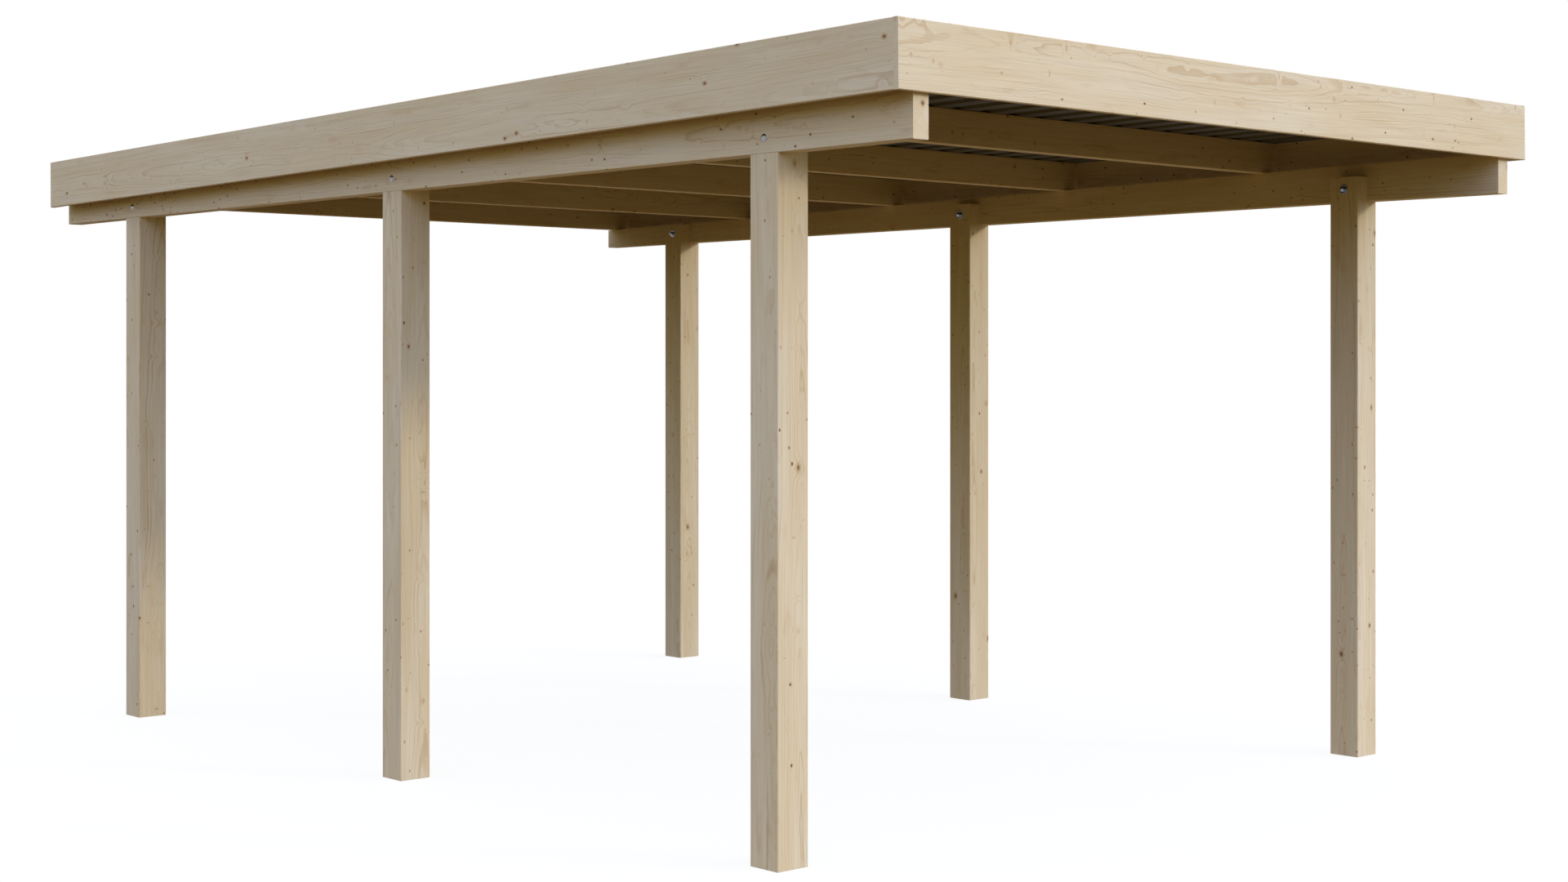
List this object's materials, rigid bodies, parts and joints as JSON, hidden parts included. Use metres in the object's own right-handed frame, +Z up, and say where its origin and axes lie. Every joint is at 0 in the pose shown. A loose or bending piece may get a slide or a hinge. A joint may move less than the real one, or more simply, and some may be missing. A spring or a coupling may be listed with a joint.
{
  "type": "carport",
  "caption": "Open timber carport: notched square posts carry tapered side beams, rafters and a shallow ribbed metal roof set behind fascia boards.",
  "frame": {"origin": "on the ground under the centre of the whole outline", "axes": "+Z up, +Y along the bay from the front fascia to the rear, +X to the right seen from the front"},
  "size_m": [3.187, 5.185, 2.3938],
  "materials": {
    "planed_spruce": "planed, untreated",
    "roof_sheet": "matt coated, ribbed"
  },
  "bodies": {
    "root": {"front_left_post": "planed_spruce", "middle_left_post": "planed_spruce", "rear_left_post": "planed_spruce", "front_right_post": "planed_spruce", "middle_right_post": "planed_spruce", "rear_right_post": "planed_spruce", "left_beam": "planed_spruce", "right_beam": "planed_spruce", "front_rafter": "planed_spruce", "second_rafter": "planed_spruce", "third_rafter": "planed_spruce", "fourth_rafter": "planed_spruce", "fifth_rafter": "planed_spruce", "rear_rafter": "planed_spruce", "left_rim_board": "planed_spruce", "right_rim_board": "planed_spruce", "front_fascia": "planed_spruce", "left_fascia": "planed_spruce", "right_fascia": "planed_spruce", "left_roof_sheet": "roof_sheet", "middle_roof_sheet": "roof_sheet", "right_roof_sheet": "roof_sheet"}
  },
  "joints": []
}
